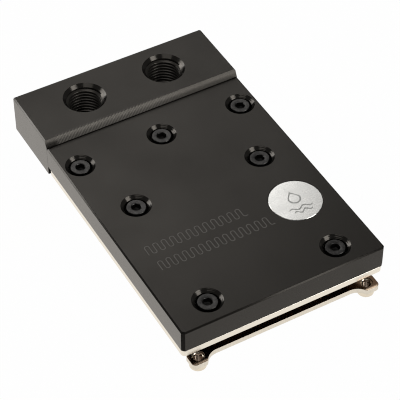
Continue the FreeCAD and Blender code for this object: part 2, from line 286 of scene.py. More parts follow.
acetal = {"dark": (0.0056, 0.0052, 0.0047), "pale": (0.0094, 0.0087, 0.0078), "tint": (1.0, 0.94, 0.86),
          "topRough": (0.34, 0.44), "sideRough": (0.20, 0.30), "frontRough": (0.22, 0.32),
          "threadRough": (0.26, 0.36), "sideCoat": 0.28, "coatRough": 0.22,
          "feed": 0.42, "feedDepth": 0.0010, "grainDepth": 0.0012}


def newAcetal(name, specular=0.5):
    material, tree, shader, place, axes = newMaterial(name)
    shader.inputs["Specular Tint"].default_value = (*acetal["tint"], 1)
    shader.inputs["Specular IOR Level"].default_value = specular
    return material, tree, shader, place, axes


def makeMilledAcetal(name, distanceAxis, alongAxis, rough, coat=0.0, specular=0.5):
    # face milled: faint even feed lines, a fine grain and broad handling marks
    material, tree, shader, place, axes = newAcetal(name, specular)
    shader.inputs["Coat Weight"].default_value = coat
    shader.inputs["Coat Roughness"].default_value = acetal["coatRough"]
    lines = addMarks(tree, axes[distanceAxis], axes[alongAxis], acetal["feed"], length=30)
    grain = addGrain(tree, place, fine=5200, broad=45, rough=rough)
    finishSurface(tree, shader, lines["Streak"], acetal["dark"], acetal["pale"], grain,
                  (lines["Wave"], acetal["feedDepth"]), (grain["Height"], acetal["grainDepth"]))
    return material


bored = {"dark": (0.0060, 0.0057, 0.0053), "pale": (0.0120, 0.0113, 0.0103), "rough": (0.12, 0.20)}


def makeBoredAcetal(name, feed, depth):
    # bored walls: glossier, with rings at the tool's feed
    material, tree, shader, place, axes = newAcetal(name)
    rings = addMarks(tree, axes["Z"], axes["X"], feed, length=40)
    grain = addGrain(tree, place, fine=4200, broad=240, rough=bored["rough"])
    finishSurface(tree, shader, rings["Streak"], bored["dark"], bored["pale"], grain,
                  (rings["Wave"], depth), (grain["Height"], 0.0008))
    return material


def makeShadedEdgeAcetal():
    # painted shade, matt and dark: for the strip under the terminal's slope and for every slanted edge
    # and corner facet but the left and front top edges
    material, tree, shader, place, axes = newMaterial("acetalShadedEdge")
    shader.inputs["Specular IOR Level"].default_value = 0.12
    grain = addGrain(tree, place, fine=3000, broad=200, rough=(0.62, 0.80))
    finishSurface(tree, shader, grain["Value"], (0.0040, 0.0034, 0.0028), (0.0085, 0.0075, 0.0064), grain,
                  (grain["Height"], 0.0060))
    return material


def makeMilledNickel():
    # nickel over fine milling: lines run level round the sides
    material, tree, shader, place, axes = newMaterial("nickelMilled", metallic=1.0)
    lines = addMarks(tree, axes["Z"], axes["X"], pitch=0.16, length=60)
    grain = addGrain(tree, place, fine=5000, broad=110, rough=(0.16, 0.26))
    finishSurface(tree, shader, lines["Streak"], (0.74, 0.70, 0.62), (0.90, 0.88, 0.82), grain,
                  (lines["Streak"], 0.0016), (grain["Height"], 0.0006))
    return material


def makeLappedNickel():
    # the cold face: lapped in small crossing circles to a near mirror
    material, tree, shader, place, axes = newMaterial("nickelLapped", metallic=1.0)
    circles = addNode(tree, "ShaderNodeTexVoronoi", -6, 0, feature="F1")
    circles.inputs["Scale"].default_value = 90
    tree.links.new(place, circles.inputs["Vector"])
    # Voronoi gives its distance in cells, so the pitch is a share of a cell here
    rings = addMarks(tree, circles.outputs["Distance"], axes["X"], pitch=40, length=900)
    grain = addGrain(tree, place, fine=7000, broad=70, rough=(0.10, 0.18))
    finishSurface(tree, shader, grain["Value"], (0.80, 0.78, 0.73), (0.84, 0.81, 0.75), grain,
                  (rings["Wave"], 0.0003), (grain["Height"], 0.0002))
    return material


def makeShadedSheet():
    # nickel plated sheet: rolling lines along X, softly mottled; its dark brown is painted shade, and it
    # serves as painted shade under the base's flange, below it, and in the standoffs' bores and threads
    material, tree, shader, place, axes = newMaterial("sheetRolledShaded", metallic=1.0)
    lines = addMarks(tree, axes["Y"], axes["X"], pitch=0.30, length=18)
    grain = addGrain(tree, place, fine=4200, broad=160, rough=(0.12, 0.20))
    finishSurface(tree, shader, lines["Streak"], (0.25, 0.195, 0.155), (0.37, 0.30, 0.245), grain,
                  (lines["Streak"], 0.0014), (grain["Height"], 0.0010))
    return material


def makeShearedEdge():
    # the sheet's cut edges: short torn streaks from top to bottom
    material, tree, shader, place, axes = newMaterial("sheetCutEdge", metallic=1.0)
    run = math2(tree, "ADD", axes["X"], axes["Y"], -7, 1)
    tears = addMarks(tree, run, axes["Z"], pitch=0.45, length=2.2)
    grain = addGrain(tree, place, fine=3600, broad=260, rough=(0.26, 0.46))
    finishSurface(tree, shader, tears["Streak"], (0.62, 0.58, 0.50), (0.84, 0.81, 0.74), grain,
                  (tears["Streak"], 0.010), (grain["Height"], 0.0016))
    return material


def makeTurnedNickel():
    # nickel plated brass, turned
    material, tree, shader, place, axes = newMaterial("nickelTurned", metallic=1.0)
    rings = addMarks(tree, axes["Z"], axes["X"], pitch=0.12, length=80)
    grain = addGrain(tree, place, fine=5200, broad=300, rough=(0.16, 0.28))
    finishSurface(tree, shader, rings["Streak"], (0.66, 0.60, 0.49), (0.84, 0.79, 0.69), grain,
                  (rings["Wave"], 0.0016), (grain["Height"], 0.0006))
    return material


def makeBrushedAluminium():
    # the badge: brushed along X in long uneven strokes
    material, tree, shader, place, axes = newMaterial("badgeBrushed", metallic=1.0)
    strokes = addMarks(tree, axes["Y"], axes["X"], pitch=0.34, length=14)
    grain = addGrain(tree, place, fine=3800, broad=150, rough=(0.22, 0.32))
    finishSurface(tree, shader, strokes["Streak"], (0.86, 0.87, 0.86), (0.99, 0.99, 0.98), grain,
                  (strokes["Streak"], 0.0040), (grain["Height"], 0.0006))
    return material


def makeEtched(name, dark, pale, rough, metallic):
    # etched or engraved ground: matt, finely pitted
    material, tree, shader, place, axes = newMaterial(name, metallic)
    grain = addGrain(tree, place, fine=5200, broad=420, rough=rough)
    strokes = addMarks(tree, axes["Y"], axes["X"], pitch=0.30, length=6)
    finishSurface(tree, shader, strokes["Streak"], dark, pale, grain, (grain["Height"], 0.0030))
    return material


def makeBlackSteel():
    # black oxide on a turned steel head: the rings follow the piece's own axis
    material, tree, shader, place, axes = newMaterial("blackOxideHead", metallic=1.0)
    own = addNode(tree, "ShaderNodeAttribute", -8, 4, attribute_name="fromAxis")
    grain = addGrain(tree, place, fine=2600, broad=620, rough=(0.28, 0.44))
    rings = addMarks(tree, own.outputs["Fac"], axes["Z"], pitch=0.28, length=60)
    finishSurface(tree, shader, grain["Height"], (0.014, 0.014, 0.015), (0.105, 0.103, 0.101), grain,
                  (rings["Wave"], 0.0040), (grain["Height"], 0.0120))
    return material


def makeSteel(name, dark, pale, rough):
    # bright steel: fine lines across, even grain
    material, tree, shader, place, axes = newMaterial(name, metallic=1.0)
    lines = addMarks(tree, axes["Y"], axes["X"], pitch=0.22, length=12)
    grain = addGrain(tree, place, fine=4200, broad=200, rough=rough)
    finishSurface(tree, shader, lines["Streak"], dark, pale, grain,
                  (lines["Streak"], 0.0012), (grain["Height"], 0.0008))
    return material


def makeRubber():
    # moulded nitrile: matt, with a soft grain
    material, tree, shader, place, axes = newMaterial("sealNitrile")
    grain = addGrain(tree, place, fine=2600, broad=180, rough=(0.50, 0.66))
    finishSurface(tree, shader, grain["Height"], (0.010, 0.010, 0.010), (0.026, 0.026, 0.026), grain,
                  (grain["Height"], 0.004))
    return material


coverTopFinish = makeMilledAcetal("acetalMilledTop", "X", "Y", acetal["topRough"])
sideFinish = makeMilledAcetal("acetalMilledSide", "Z", "Y", acetal["sideRough"], coat=acetal["sideCoat"])
frontFinish = makeMilledAcetal("acetalMilledFront", "Z", "X", acetal["frontRough"], specular=0.30)
shadedEdgeFinish = makeShadedEdgeAcetal()
threadFinish = makeMilledAcetal("acetalThread", "Z", "X", acetal["threadRough"], specular=1.0)
boredFinish = makeBoredAcetal("acetalBored", feed=0.24, depth=0.0012)
counterboredFinish = makeBoredAcetal("acetalCounterbored", feed=0.45, depth=0.012)
nickelFinish = makeMilledNickel()
lappedFinish = makeLappedNickel()
shadedSheetFinish = makeShadedSheet()
cutEdgeFinish = makeShearedEdge()
turnedFinish = makeTurnedNickel()
badgeFinish = makeBrushedAluminium()
emblemFinish = makeEtched("badgeEtched", (0.50, 0.51, 0.50), (0.62, 0.63, 0.62), (0.46, 0.60),
                          metallic=1.0)
engravedFinish = makeEtched("acetalEngraved", (0.085, 0.081, 0.075), (0.165, 0.158, 0.148), (0.46, 0.62),
                            metallic=0.0)
headFinish = makeBlackSteel()
steelFinish = makeSteel("jetPlateSteel", (0.50, 0.50, 0.49), (0.66, 0.66, 0.65), (0.24, 0.36))
screwFinish = makeSteel("stainlessScrew", (0.46, 0.46, 0.45), (0.66, 0.66, 0.66), (0.20, 0.34))
rubberFinish = makeRubber()
print("materials", len(bpy.data.materials))


# Dressed copies of the CAD pieces: merged, with every edge broken a little

def dressNode(node, name, edge, shape=None):
    # edge is the width of the broken edge; shape works on the merged mesh before that
    sharp = math.radians(35)
    piece = copyPiece(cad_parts[node], name)
    for key in list(piece.keys()):
        del piece[key]
    piece.parent = None
    piece.scale = (1 / mm, 1 / mm, 1 / mm)
    selectOnly(piece)
    bpy.ops.object.transform_apply(location=True, rotation=True, scale=True)
    bpy.ops.mesh.customdata_custom_splitnormals_clear()
    bpy.ops.object.mode_set(mode="EDIT")
    bpy.ops.mesh.select_all(action="SELECT")
    bpy.ops.mesh.remove_doubles(threshold=0.001)
    bpy.ops.mesh.dissolve_limited(angle_limit=math.radians(0.4))
    bpy.ops.object.mode_set(mode="OBJECT")
    if shape:
        shape(piece)
    bpy.ops.object.shade_smooth()
    applyModifier(piece, "BEVEL", width=edge, segments=2, limit_method="ANGLE", angle_limit=sharp,
                  use_clamp_overlap=False, harden_normals=True)
    settle(piece)
    return piece


coverLow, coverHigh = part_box("top_cover")
blockLow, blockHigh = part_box("terminal_block")
baseLow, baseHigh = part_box("base_plate")
badgeLow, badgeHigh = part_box("badge_disc")

# Which finish a face takes: a normal's share along an axis says how it lies

square = 0.95            # square to the axis, or nearly
facing = 0.9             # the same, with the first facet of a broken edge
leaning = 0.3            # leans that way at all
band = 1.1 * mm          # from the cover's outline, its outer faces end here

port = {"spacing": 31.7, "behindFront": 14.4, "mouth": 15.5, "bore": 13.157, "topBand": 1.0}
portPlaces = [Vector((side * port["spacing"] / 2 * mm, blockLow.y + port["behindFront"] * mm, 0))
              for side in (-1, 1)]
flangeLevel = baseHigh.z - 2.7 * mm       # the underside of the base's flange


def outerFinishAt(normal):
    # 0 side, 1 front, 2 dark edge as painted shade: the left and front top edges keep the milled finish,
    # the others take the painted shade
    facets = [abs(share) > leaning for share in normal]
    if sum(facets) == 1:
        return 1 if facets[1] else 0
    milled = sum(facets) == 2 and normal.z > leaning and min(normal.x, normal.y) < -leaning
    return 2 if not milled else 1 if facets[1] else 0


def coverFinishAt(centre, normal):
    # 3 top, 4 counterbores and all else inside
    if normal.z > square and centre.z > coverHigh.z - 0.1 * mm:
        return 3
    edge = min(centre.x - coverLow.x, coverHigh.x - centre.x,
               centre.y - coverLow.y, coverHigh.y - centre.y)
    return outerFinishAt(normal) if edge < band or abs(normal.z) > square else 4


def terminalFinishAt(centre, normal):
    # 3 top, 4 ports, 5 slope; the strip under the slope takes the dark edge finish as painted shade of
    # the joint
    reach = (port["mouth"] / 2 + 0.05) * mm
    if any((centre.xy - place.xy).length < reach for place in portPlaces):
        return 4 if normal.z < square or centre.z < blockHigh.z - port["topBand"] * mm else 3
    if normal.y < -0.5 and normal.z > 0.2:
        return 5
    if normal.y < -square:
        return 2
    return 3 if normal.z > facing else outerFinishAt(normal)


def baseFinishAt(centre, normal):
    # the cold face is lapped; the flange's underside and the faces below the flange take the darker sheet
    # finish as painted shade
    if centre.z < flangeLevel and normal.z > -square or normal.z < -square:
        return 1 if centre.z < baseLow.z + 0.1 * mm else 2
    return 0


def plateFinishAt(centre, normal):
    return 1 if abs(normal.z) < 0.6 else 0


# The terminal's sloped front edge: slanted cutter marks whose crests are painted pale as painted
# highlights, over a ground with painted light that pales it towards the joint

# pale is the colour of the painted highlights and of the painted light; the entry after below is how much
# painted light the ground has at the joint
slope = {"run": 1.35, "pitch": 1.33, "lean": 42.0, "length": 25, "starts": -34.6, "full": -32.6,
         "fades": -6.0, "ends": 22.0, "over": 1.5, "overFull": 0.3, "ragged": 0.8, "depth": 0.010,
         "feedDepth": 0.0003, "below": 0.2, "paintedLight": 0.50, "strokes": 0.6, "specular": 0.65,
         "dark": (0.0080, 0.0074, 0.0066), "pale": (0.1500, 0.1440, 0.1330), "rough": (0.20, 0.28)}
slopeEdge = blockLow.y + slope["run"] * mm
slopeRise = blockHigh.z - coverHigh.z
slopeLength = math.hypot(slopeEdge - blockLow.y, slopeRise)
slopeBack, slopeUp = (slopeEdge - blockLow.y) / slopeLength, slopeRise / slopeLength


def addRange(tree, value, low, high, row, top=1.0, interpolation="SMOOTHSTEP"):
    # 0 at low, and top at high
    spread = addNode(tree, "ShaderNodeMapRange", -5, row, interpolation_type=interpolation)
    tree.links.new(value, spread.inputs["Value"])
    for label, number in (("From Min", low), ("From Max", high), ("To Min", 0.0), ("To Max", top)):
        spread.inputs[label].default_value = number
    return spread.outputs[0]


def makeHatchedAcetal(name, rough, alongY, alongZ, specular=0.5):
    # the marks start at the left, die out towards the right and run a little over the edge;
    # alongY and alongZ are what a step in Y or Z adds to the way up the face
    material, tree, shader, place, axes = newAcetal(name, specular)
    lean = math.radians(slope["lean"])
    across = math2(tree, "MULTIPLY", axes["X"], math.sin(lean), -7, 0)
    back = math2(tree, "MULTIPLY", axes["Y"], math.cos(lean) * alongY, -7, 1)
    up = math2(tree, "MULTIPLY", axes["Z"], math.cos(lean) * alongZ, -7, 2)
    climb = math2(tree, "ADD", back, up, -6, 1)
    distance = math2(tree, "SUBTRACT", across, climb, -6, 0)
    hatch = addMarks(tree, distance, axes["X"], slope["pitch"] * math.sin(lean), slope["length"])
    ragged = math2(tree, "MULTIPLY", hatch["Streak"], slope["ragged"] * mm, -6, 6)
    reach = math2(tree, "ADD", axes["Y"], ragged, -6, 7)
    atLeft = addRange(tree, axes["X"], slope["starts"] * mm, slope["full"] * mm, 3)
    atRight = addRange(tree, axes["X"], slope["ends"] * mm, slope["fades"] * mm, 4)
    atEdge = addRange(tree, reach, slopeEdge + slope["over"] * mm, slopeEdge + slope["overFull"] * mm, 5)
    depth = math2(tree, "MULTIPLY", math2(tree, "MULTIPLY", atLeft, atRight, -4, 4), atEdge, -4, 5)
    ridges = math2(tree, "MULTIPLY", hatch["Wave"], depth, -4, 1)
    # painted highlights: the marks' crests are painted pale
    strokes = math2(tree, "MULTIPLY", ridges, slope["strokes"], -4, 10)
    # painted light: from just below the top edge, the ground is painted paler towards the joint, from the
    # left end on
    lower = addRange(tree, axes["Z"], blockHigh.z - slope["below"] * mm, coverHigh.z, 10,
                     top=slope["paintedLight"], interpolation="LINEAR")
    paintedLight = math2(tree, "MULTIPLY", lower, atLeft, -4, 9)
    paintedHighlights = math2(tree, "ADD", paintedLight, strokes, -3, 9)
    feed = addMarks(tree, axes["X"], axes["Y"], acetal["feed"], length=30, row=9)
    grain = addGrain(tree, place, fine=5200, broad=60, rough=rough)
    finishSurface(tree, shader, paintedHighlights, slope["dark"], slope["pale"], grain,
                  (feed["Wave"], slope["feedDepth"]), (ridges, slope["depth"]),
                  (grain["Height"], acetal["grainDepth"]))
    return material


slopeFinish = makeHatchedAcetal("acetalSlope", slope["rough"], slopeBack, slopeUp, slope["specular"])
# on the top the marks go on along Y, and meet those of the slope at its edge
terminalTopFinish = makeHatchedAcetal("acetalTerminalTop", acetal["topRough"], 1.0,
                                      slopeUp - (1 - slopeBack) * slopeEdge / blockHigh.z)

counterbore = {"mouth": 10.5, "chamfer": 1.1, "wallSlack": 0.1, "ringSlack": 0.05}
screwPlaces = [sum(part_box(f"cover_screw_{number}"), Vector()) / 2 for number in range(1, 8)]


def chamferCounterbores(piece):
    # a ring is cut round each wall, and all below it is drawn in to leave a 45 degree mouth
    radius = counterbore["mouth"] / 2
    ringLevel = coverHigh.z / mm - counterbore["chamfer"]
    narrow = 1 - counterbore["chamfer"] / radius
    selectOnly(piece)
    for place in screwPlaces:
        middle = place.xy / mm
        bpy.ops.object.mode_set(mode="EDIT")
        pickFaces(piece, lambda centre, normal: abs(normal.z) < 0.1
                  and abs((centre.xy - middle).length - radius) < counterbore["wallSlack"])
        bpy.ops.mesh.bisect(plane_co=(0, 0, ringLevel), plane_no=(0, 0, 1))
        pickVertices(piece, lambda place: place.z < ringLevel + 0.01
                     and abs((place.xy - middle).length - radius) < counterbore["ringSlack"])
        bpy.ops.transform.resize(value=(narrow, narrow, 1), center_override=(*middle, 0))
        bpy.ops.object.mode_set(mode="OBJECT")


cover = dressNode("top_cover", "cover_milled", edge=0.07, shape=chamferCounterbores)
paint(cover, sideFinish, frontFinish, shadedEdgeFinish, coverTopFinish, counterboredFinish,
      choose=coverFinishAt)
declare(cover, "black_acetal", "top_cover")

terminal = dressNode("terminal_block", "terminal_milled", edge=0.05)
paint(terminal, sideFinish, frontFinish, shadedEdgeFinish, terminalTopFinish, boredFinish, slopeFinish,
      choose=terminalFinishAt)
declare(terminal, "black_acetal_terminal", "terminal_block")

base = dressNode("base_plate", "base_nickel", edge=0.04)
paint(base, nickelFinish, lappedFinish, shadedSheetFinish, choose=baseFinishAt)
declare(base, "nickel_copper", "base_plate")

plate = dressNode("mounting_plate", "plate_sheet", edge=0.10)
paint(plate, shadedSheetFinish, cutEdgeFinish, choose=plateFinishAt)
declare(plate, "plated_steel", "mounting_plate")

badge = dressNode("badge_disc", "badge_brushed", edge=0.03)
paint(badge, badgeFinish)
declare(badge, "badge_aluminium", "badge_disc")

standoffAxes = []
for number in range(1, 5):
    low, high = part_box(f"standoff_{number}")
    axis = Vector(((low.x + high.x) / 2, (low.y + high.y) / 2, 0))
    standoffAxes.append(axis)
    standoff = dressNode(f"standoff_{number}", f"standoff_turned_{number}", edge=0.04)
    # the bore takes the darker sheet finish as painted shade
    paint(standoff, turnedFinish, shadedSheetFinish,
          choose=lambda centre, normal: 1 if (centre.xy - axis.xy).length < 1.6 * mm else 0)
    declare(standoff, "nickel_brass", f"standoff_{number}")
    countersunk = dressNode(f"plate_screw_{number}", f"countersunk_screw_{number}", edge=0.03)
    paint(countersunk, screwFinish)
    declare(countersunk, "screw_steel", f"plate_screw_{number}")

for node, finish in (("jet_plate", steelFinish), ("main_seal", rubberFinish),
                     ("port_seal_left", rubberFinish), ("port_seal_right", rubberFinish)):
    paint(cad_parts[node], finish)


# Threads cut in the ports and the standoffs

portThread = {"pitch": 1.337, "root": port["bore"] / 2, "depth": 0.856, "base": 1.16, "crest": 0.36,
              "round": 0.13, "press": 0.02, "steps": 72, "from": 8.0, "turns": 8}
standoffThread = {"pitch": 0.5, "root": 1.5, "depth": 0.27, "base": 0.44, "crest": 0.12,
                  "round": 0.04, "press": 0.02, "steps": 40, "from": -1.5, "turns": 6}


def cutThread(name, sizes, axis, mouth=None):
    # one tooth, pressed a little into the wall of its bore, is run up the helix
    depth = sizes["depth"] + sizes["press"]
    middle = sizes["root"] + sizes["press"] - depth / 2
    bpy.ops.object.select_all(action="DESELECT")
    bpy.ops.mesh.primitive_plane_add(size=1, location=(middle, 0, sizes["from"]),
                                     rotation=(math.pi / 2, 0, 0))
    tooth = bpy.context.object
    tooth.name = name
    tooth.scale = (depth, sizes["base"], 1)
    bpy.ops.object.transform_apply(location=True, rotation=True, scale=True)
    bpy.ops.object.mode_set(mode="EDIT")
    pickVertices(tooth, lambda place: place.x < middle)
    bpy.ops.transform.resize(value=(1, 1, sizes["crest"] / sizes["base"]),
                             center_override=(middle, 0, sizes["from"]))
    bpy.ops.mesh.bevel(offset=sizes["round"], segments=3, affect="VERTICES")
    bpy.ops.mesh.select_all(action="SELECT")
    bpy.ops.mesh.delete(type="ONLY_FACE")
    bpy.ops.object.mode_set(mode="OBJECT")
    applyModifier(tooth, "SCREW", axis="Z", angle=2 * math.pi, screw_offset=sizes["pitch"],
                  iterations=sizes["turns"], steps=sizes["steps"], render_steps=sizes["steps"],
                  use_smooth_shade=True)
    if mouth:
        # the port's 45 degree mouth cuts the top turn away
        for vertex in tooth.data.vertices:
            out = vertex.co.xy.length
            least = mouth["radius"] - (mouth["top"] - vertex.co.z)
            if out < least:
                vertex.co.xy *= least / out
    bpy.ops.object.mode_set(mode="EDIT")
    bpy.ops.mesh.select_all(action="SELECT")
    bpy.ops.mesh.fill_holes(sides=0)
    bpy.ops.mesh.normals_make_consistent(inside=False)
    bpy.ops.object.mode_set(mode="OBJECT")
    bpy.ops.object.shade_smooth_by_angle(angle=math.radians(34))
    settle(tooth, axis)
    return tooth


mouth = {"radius": port["mouth"] / 2 - 0.01, "top": blockHigh.z / mm}
portTooth = cutThread("port_thread_left", portThread, portPlaces[0], mouth)
paint(portTooth, threadFinish)
rightTooth = copyPiece(portTooth, "port_thread_right")
shift(rightTooth, portPlaces[1] - portPlaces[0])
for tooth in (portTooth, rightTooth):
    declare(tooth, "black_acetal_terminal")

firstTooth = cutThread("standoff_thread_1", standoffThread, standoffAxes[0])
# the standoffs' threads take the darker sheet finish as painted shade
paint(firstTooth, shadedSheetFinish)
for number, axis in enumerate(standoffAxes[1:], 2):
    tooth = copyPiece(firstTooth, f"standoff_thread_{number}")
    shift(tooth, axis - standoffAxes[0])
    declare(tooth, "nickel_brass")
declare(firstTooth, "nickel_brass")
print("threads", portThread["turns"], "turns")


# Socket head screws with knurled heads

screw = {"head": 7.0, "height": 4.0, "knurls": 44, "knurlTo": 3.25, "knurlDepth": 0.13, "step": 0.06,
         "rim": 0.18, "edge": 0.035, "socket": 3.0, "socketDepth": 2.0, "leadIn": 0.05, "clear": 0.01,
         "shank": 4.0, "bevel": 0.40}


def extrudeUp(height):
    bpy.ops.mesh.extrude_region_move(TRANSFORM_OT_translate={"value": (0, 0, height)})


def narrowTo(share):
    bpy.ops.transform.resize(value=(share, share, 1), center_override=(0, 0, 0))


def makeScrew(name, length):
    # the seat under the head is at z = 0 and the shank points down
    radius = screw["head"] / 2
    bpy.ops.object.select_all(action="DESELECT")
    bpy.ops.mesh.primitive_cylinder_add(vertices=2 * screw["knurls"], radius=radius,
                                        depth=screw["knurlTo"], location=(0, 0, screw["knurlTo"] / 2))
    head = bpy.context.object
    head.name = name
    bpy.ops.object.transform_apply(location=True, rotation=True, scale=True)
    # every second line of the rim is drawn in
    halfPitch = math.pi / screw["knurls"]
    bpy.ops.object.mode_set(mode="EDIT")
    pickVertices(head, lambda place: round(math.atan2(place.y, place.x) / halfPitch) % 2 == 0)
    narrowTo(1 - screw["knurlDepth"] / radius)
    # above the knurling the head is plain: a step, a bevel and the flat top
    pickFaces(head, lambda centre, normal: normal.z > 0.9)
    extrudeUp(screw["step"])
    bpy.ops.transform.tosphere(value=1.0)
    extrudeUp(screw["height"] - screw["rim"] - screw["knurlTo"] - screw["step"])
    extrudeUp(screw["rim"])
    narrowTo((radius - screw["rim"]) / radius)
    bpy.ops.mesh.inset(thickness=screw["step"])
    # below it the shank, with a bevel at its end
    pickFaces(head, lambda centre, normal: normal.z < -0.9)
    extrudeUp(0)
    bpy.ops.transform.tosphere(value=1.0)
    narrowTo(screw["shank"] / screw["head"])
    extrudeUp(screw["bevel"] - length)
    extrudeUp(-screw["bevel"])
    narrowTo(1 - 2 * screw["bevel"] / screw["shank"])
    bpy.ops.object.mode_set(mode="OBJECT")
    # the hexagon socket, and a cone that leads the key in
    corner = screw["socket"] / math.sqrt(3)
    cone = corner + screw["leadIn"]
    depth = screw["socketDepth"]
    bpy.ops.object.select_all(action="DESELECT")
    bpy.ops.mesh.primitive_cylinder_add(vertices=6, radius=corner, depth=depth,
                                        location=(0, 0, screw["height"] - depth / 2 + screw["clear"]))
    key = bpy.context.object
    bpy.ops.mesh.primitive_cone_add(vertices=48, radius1=0, radius2=cone, depth=cone,
                                    location=(0, 0, screw["height"] - cone / 2))
    leadIn = bpy.context.object
    for cutter in (key, leadIn):
        applyModifier(head, "BOOLEAN", operation="DIFFERENCE", object=cutter, solver="EXACT")
        bpy.data.objects.remove(cutter)
    applyModifier(head, "BEVEL", width=screw["edge"], segments=2, limit_method="ANGLE",
                  angle_limit=math.radians(32), use_clamp_overlap=False)
    bpy.ops.object.shade_smooth_by_angle(angle=math.radians(34))
    return head


def markAxis(piece, axis, lying):
    # distance from the piece's own axis, for the rings of its turning
    attribute = piece.data.attributes.new("fromAxis", "FLOAT", "POINT")
    flat = Vector((1, 0, 1)) if lying else Vector((1, 1, 0))
    for vertex, value in zip(piece.data.vertices, attribute.data):
        value.value = ((vertex.co - axis) * flat).length


def setScrew(pattern, node, name, lying=False):
    # no two sockets stand alike
    turn = random.uniform(0, math.pi / 3)
    low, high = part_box(node)
    middle = (low + high) / 2
    piece = copyPiece(pattern, name)
    piece.rotation_mode = "QUATERNION"
    spin = Quaternion((0, 0, 1), turn)
    piece.rotation_quaternion = Quaternion((1, 0, 0), -math.pi / 2) @ spin if lying else spin
    top = screw["height"] * mm
    seat = Vector((middle.x, high.y - top, middle.z) if lying else (middle.x, middle.y, high.z - top))
    settle(piece, seat)
    markAxis(piece, seat, lying)
    paint(piece, headFinish)
    declare(piece, "black_steel", node)


shortScrew = makeScrew("screw_pattern_short", length=6.0)
middleScrew = makeScrew("screw_pattern_middle", length=8.0)
longScrew = makeScrew("screw_pattern_long", length=25.0)
for number in range(1, 8):
    setScrew(middleScrew if number < 5 else shortScrew, f"cover_screw_{number}", f"socket_screw_{number}")
for number in range(1, 4):
    setScrew(longScrew, f"terminal_screw_{number}", f"long_screw_{number}", lying=True)
for pattern in (shortScrew, middleScrew, longScrew):
    bpy.data.objects.remove(pattern)
print("screws set")


# Two rows of engraved flow lines on the cover, and a drop over two waves on the badge

flowRows = [{"name": "flow_lines_upper", "left": -30.9, "right": 6.4, "foot": 2.0},
            {"name": "flow_lines_lower", "left": -30.2, "right": 12.2, "foot": -5.8}]
flowLine = {"period": 3.1, "height": 4.0, "width": 0.34, "proud": 0.012, "round": 0.7}


def makeFlowRow(row):
    # a channel drawn as it would be milled: up, over, down, over
    length = row["right"] - row["left"]
    count = round(length / flowLine["period"])
    half = length / count / 2
    bpy.ops.object.select_all(action="DESELECT")
    bpy.ops.mesh.primitive_plane_add(size=0.1, location=(row["left"], row["foot"], 0))
    piece = bpy.context.object
    piece.name = row["name"]
    bpy.ops.object.transform_apply(location=True)
    bpy.ops.object.mode_set(mode="EDIT")
    bpy.ops.mesh.select_mode(type="VERT")
    bpy.ops.mesh.select_all(action="SELECT")
    bpy.ops.mesh.merge(type="CENTER")
    for i in range(count):
        for step in ((0, flowLine["height"]), (half, 0), (0, -flowLine["height"]), (half, 0)):
            bpy.ops.mesh.extrude_vertices_move(TRANSFORM_OT_translate={"value": (*step, 0)})
    bpy.ops.mesh.select_all(action="SELECT")
    bpy.ops.mesh.bevel(offset=flowLine["round"], segments=5, affect="VERTICES")
    bpy.ops.object.mode_set(mode="OBJECT")
    bpy.ops.object.convert(target="CURVE")
    piece.data.bevel_depth = flowLine["width"] / 2
    piece.data.bevel_resolution = 3
    piece.data.use_fill_caps = True
    bpy.ops.object.convert(target="MESH")
    piece.scale = (1, 1, 2 * flowLine["proud"] / flowLine["width"])
    bpy.ops.object.transform_apply(location=True, rotation=True, scale=True)
    bpy.ops.object.shade_smooth()
    settle(piece, (0, 0, coverHigh.z))
    paint(piece, engravedFinish)
    declare(piece, "black_acetal")


for row in flowRows:
    makeFlowRow(row)

drop = {"radius": 2.35, "point": 3.6, "ring": 0.55, "up": 0.9, "taper": 0.92, "power": 2.2, "proud": 0.01}
waves = {"count": 2, "width": 9.2, "narrower": 2.2, "below": 3.6, "gap": 1.7, "swell": 0.55, "line": 0.62}
badgeMiddle = (badgeLow + badgeHigh) / 2


def makeDrop():
    # a ring drawn out to a point at its top
    bpy.ops.object.select_all(action="DESELECT")
    bpy.ops.mesh.primitive_circle_add(vertices=64, radius=drop["radius"], fill_type="NGON",
                                      location=(0, 0, 0))
    piece = bpy.context.object
    piece.name = "badge_drop"
    bpy.ops.object.mode_set(mode="EDIT")
    bpy.ops.mesh.inset(thickness=drop["ring"])
    bpy.ops.mesh.delete(type="FACE")
    bpy.ops.object.mode_set(mode="OBJECT")
    for vertex in piece.data.vertices:
        rise = max(0.0, vertex.co.y / drop["radius"]) ** drop["power"]
        vertex.co.x *= 1 - drop["taper"] * rise
        vertex.co.y += (drop["point"] - drop["radius"]) * rise
    applyModifier(piece, "SOLIDIFY", thickness=2 * drop["proud"], offset=0)
    settle(piece, (badgeMiddle.x, badgeMiddle.y + drop["up"] * mm, badgeHigh.z))
    return piece


def makeWave(number):
    # a line in two swells, thin at its ends; each one below is shorter
    bpy.ops.object.select_all(action="DESELECT")
    bpy.ops.mesh.primitive_grid_add(x_subdivisions=48, y_subdivisions=1, size=1, location=(0, 0, 0))
    piece = bpy.context.object
    piece.name = f"badge_wave_{number}"
    width = waves["width"] - waves["narrower"] * (number - 1)
    for vertex in piece.data.vertices:
        along = vertex.co.x
        taper = math.sqrt(max(0.0, 1 - (2 * along) ** 4))
        vertex.co.x = along * width
        vertex.co.y = vertex.co.y * waves["line"] * taper + waves["swell"] * math.sin(4 * math.pi * along)
    applyModifier(piece, "SOLIDIFY", thickness=2 * drop["proud"], offset=0)
    down = (waves["below"] + waves["gap"] * (number - 1)) * mm
    settle(piece, (badgeMiddle.x, badgeMiddle.y - down, badgeHigh.z))
    return piece


for piece in [makeDrop()] + [makeWave(number) for number in range(1, waves["count"] + 1)]:
    paint(piece, emblemFinish)
    declare(piece, "badge_aluminium")
print("marks set")


# Floor, light and camera

studio = {"floor": 6.0, "floorColour": (0.93, 0.93, 0.925), "floorRough": 0.9, "floorShare": 0.985,
          "reflected": (1.0, 0.955, 0.895), "world": 0.10, "worldColour": (1.0, 0.985, 0.96),
          "lampColour": (1.0, 0.98, 0.95)}


